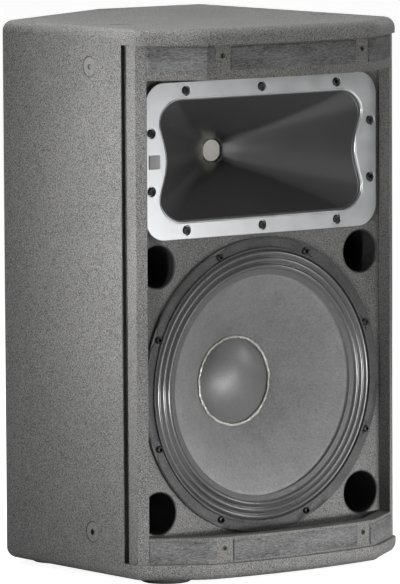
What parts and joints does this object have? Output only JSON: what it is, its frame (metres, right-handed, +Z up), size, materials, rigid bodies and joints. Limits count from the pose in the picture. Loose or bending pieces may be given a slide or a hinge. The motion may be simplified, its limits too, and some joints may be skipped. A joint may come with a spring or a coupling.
{
  "type": "pa speaker cabinet",
  "caption": "Floor or pole loudspeaker cabinet with a cone woofer, a horn with its compression driver, vent ports and rigging points; the cones move on their suspensions.",
  "frame": {"origin": "on the floor, at the middle of the cabinet's outer box", "axes": "+Z up, front of the cabinet towards -Y, +X to the right as seen facing the front"},
  "size_m": [0.437, 0.49, 0.718],
  "materials": {
    "textured_coating": "matte",
    "bare_plywood": "matte",
    "foam": "matte",
    "lining_felt": "matte",
    "rubber": "matte",
    "black_screw": "satin",
    "painted_blank": "matte",
    "zinc_steel": "satin",
    "coated_steel": "matte",
    "moulded_black": "matte",
    "basket_black": "satin",
    "gasket_board": "matte",
    "doped_cloth": "satin",
    "spider_cloth": "matte",
    "ferrite": "matte",
    "tinned_braid": "satin",
    "paper_cone": "matte",
    "glue": "gloss",
    "coil_former": "satin",
    "copper": "gloss",
    "titanium": "satin",
    "horn_satin": "satin",
    "badge_satin": "satin",
    "pale_screen": "matte",
    "circuit_board": "satin",
    "brass_post": "satin",
    "capacitor_sleeve": "gloss",
    "resistor_ceramic": "matte",
    "wire_sleeve": "satin"
  },
  "bodies": {
    "cabinet": {"side_panel_left": "textured_coating", "side_panel_right": "textured_coating", "rear_bevel_panel": "textured_coating", "rear_panel": "textured_coating", "top_panel": "textured_coating", "bottom_panel": "textured_coating", "front_baffle": "textured_coating", "shelf_brace": "bare_plywood", "top_grille_rail": "textured_coating", "bottom_grille_rail": "textured_coating", "rail_foam_strips": "foam", "rubber_feet": "rubber", "foot_screws": "black_screw", "rigging_inserts": "zinc_steel", "rigging_blank_screws": "painted_blank", "pole_socket": "coated_steel", "pole_socket_screws": "black_screw", "port_tubes": "moulded_black", "woofer_frame": "basket_black", "woofer_rim_gasket": "gasket_board", "woofer_bolts": "black_screw", "woofer_surround": "doped_cloth", "woofer_spider": "spider_cloth", "woofer_front_plate": "zinc_steel", "woofer_magnet": "ferrite", "woofer_back_plate_and_pole": "zinc_steel", "woofer_terminals": "moulded_black", "woofer_tinsel_leads": "tinned_braid", "horn_waveguide": "horn_satin", "horn_screws": "black_screw", "blank_badge": "badge_satin", "throat_screen": "pale_screen", "driver_yoke": "zinc_steel", "driver_magnet": "ferrite", "driver_top_plate": "zinc_steel", "driver_phase_plug": "moulded_black", "driver_suspension": "doped_cloth", "driver_clamp_ring": "moulded_black", "driver_rear_cover": "moulded_black", "driver_bolts": "black_screw", "input_plate": "coated_steel", "twist_lock_sockets": "moulded_black", "input_plate_screws": "black_screw", "handle_cup": "coated_steel", "handle_grip": "rubber", "handle_screws": "black_screw", "crossover_board": "circuit_board", "crossover_standoffs": "brass_post", "crossover_inductors": "copper", "crossover_capacitors": "capacitor_sleeve", "crossover_resistors": "resistor_ceramic", "internal_wires": "wire_sleeve", "damping_lining": "lining_felt"},
    "woofer_moving": {"woofer_cone": "paper_cone", "woofer_dust_cap": "paper_cone", "dust_cap_glue_bead": "glue", "voice_coil_former": "coil_former", "voice_coil_winding": "copper"},
    "driver_moving": {"driver_diaphragm": "titanium", "driver_voice_coil": "copper"}
  },
  "joints": [
    {"name": "woofer_travel", "type": "slide", "parent": "cabinet", "child": "woofer_moving", "axis": [0, -1, 0], "range_m": [-0.008, 0.008], "stiffness_N_per_m": 5000, "deforming": ["woofer_surround", "woofer_spider", "woofer_tinsel_leads"]},
    {"name": "driver_travel", "type": "slide", "parent": "cabinet", "child": "driver_moving", "axis": [0, -1, 0], "range_m": [-0.0003, 0.0003], "stiffness_N_per_m": 20000, "deforming": ["driver_suspension"]}
  ]
}
